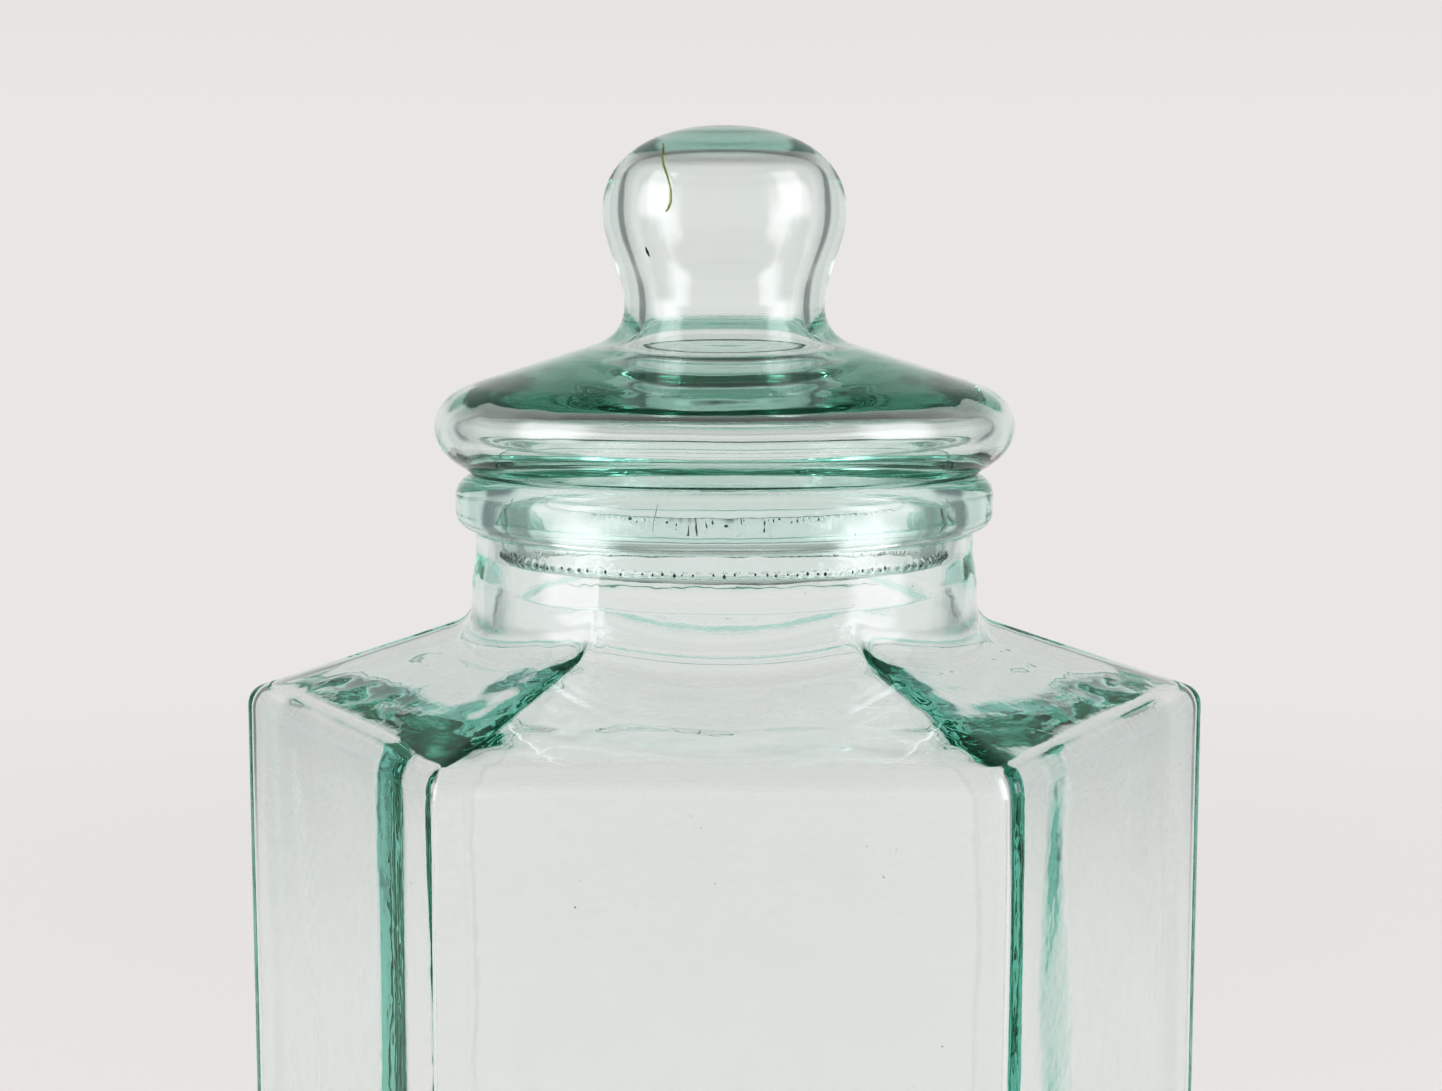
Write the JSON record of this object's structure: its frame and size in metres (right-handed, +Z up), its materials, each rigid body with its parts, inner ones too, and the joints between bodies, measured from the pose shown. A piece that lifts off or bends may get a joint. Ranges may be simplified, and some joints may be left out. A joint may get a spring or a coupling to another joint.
{
  "type": "specimen jar",
  "caption": "Hexagonal pale green glass jar with a sloping shoulder, a round beaded neck and a lift-off glass lid with a hollow bulbous knob.",
  "frame": {"origin": "centre of the foot, on the surface the jar stands on", "axes": "+Z up along the jar's axis; one flat face of the body looks towards -Y; two vertical corners point along +X and -X"},
  "size_m": [0.1846, 0.161, 0.3],
  "materials": {
    "jar_glass": "clear pressed glass with a pale aqua-green tint and a slightly wavy inner surface",
    "lid_glass": "clear blown glass with a pale aqua-green tint, deeper green where it is thick"
  },
  "bodies": {
    "jar": {"jar_body": "jar_glass"},
    "lid": {"lid": "lid_glass"}
  },
  "joints": [
    {"name": "lid_lift", "type": "slide", "parent": "jar", "child": "lid", "axis": [0, 0, 1], "range_m": [0, 0.12]}
  ]
}
